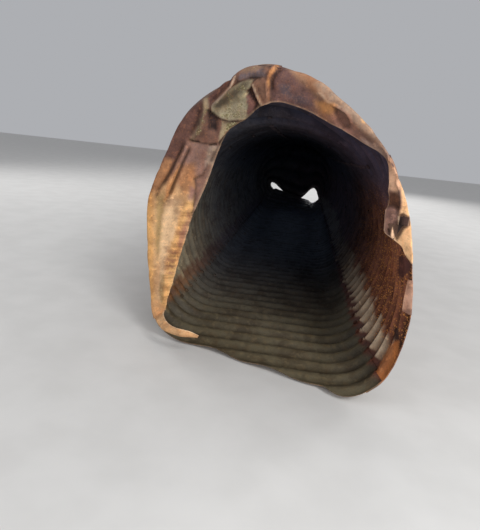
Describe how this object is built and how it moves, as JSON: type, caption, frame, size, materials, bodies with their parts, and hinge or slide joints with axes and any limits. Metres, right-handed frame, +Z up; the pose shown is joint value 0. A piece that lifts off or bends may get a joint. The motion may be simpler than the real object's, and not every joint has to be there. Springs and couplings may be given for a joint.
{
  "type": "corrugated steel culvert end",
  "caption": "Rusted corrugated steel pipe culvert of bolted plates, its mouth crumpled and folded into a lip, its far end crushed; carries water under a track",
  "frame": {"origin": "on the underside crest of the first ring's flat bottom, at the middle of its width, the eighth crest from the rim", "axes": "+X to the right seen from the mouth, +Y along the pipe from the mouth to the far end, +Z up"},
  "size_m": [1.8044, 9.177, 1.8106],
  "materials": {
    "left_rust": "orange rust with worn steel edges, on the left lip, the tail and the flap",
    "crown_rust": "brown rust with lichen, on the crown and right lips",
    "mouth_inner": "flaking brown rust with a stain line, on the mouth walls",
    "barrel_side": "silt-coated rust with a stain line, on the ring sides",
    "barrel_crown": "dark dry rust, on the ring crowns",
    "invert": "wet dark rust under silt, on the bottom plates",
    "torn_edge": "dark rust on the torn tongue"
  },
  "bodies": {
    "root": {"ring_1_left_plate": "barrel_side", "ring_1_crown_plate": "barrel_crown", "ring_1_right_plate": "barrel_side", "ring_1_invert_plate": "invert", "ring_2_left_plate": "barrel_side", "ring_2_crown_plate": "barrel_crown", "ring_2_right_plate": "barrel_side", "ring_2_invert_plate": "invert", "ring_3_left_plate": "barrel_side", "ring_3_crown_plate": "barrel_crown", "ring_3_right_plate": "barrel_side", "ring_3_invert_plate": "invert", "ring_4_left_plate": "barrel_side", "ring_4_crown_plate": "barrel_crown", "ring_4_right_plate": "barrel_side", "ring_4_invert_plate": "invert", "mouth_left_wall": "mouth_inner", "mouth_crown_wall": "mouth_inner", "mouth_right_wall": "mouth_inner", "mouth_invert": "invert", "left_lip": "left_rust", "left_tail": "left_rust", "right_flap": "left_rust", "right_hem": "left_rust", "upper_left_fold": "crown_rust", "crown_pleat": "crown_rust", "right_lip": "crown_rust", "right_strip": "crown_rust", "torn_curl": "torn_edge", "outlet_left_wall": "barrel_side", "outlet_crown_wall": "barrel_crown", "outlet_right_wall": "barrel_side", "outlet_invert": "invert"}
  },
  "joints": []
}
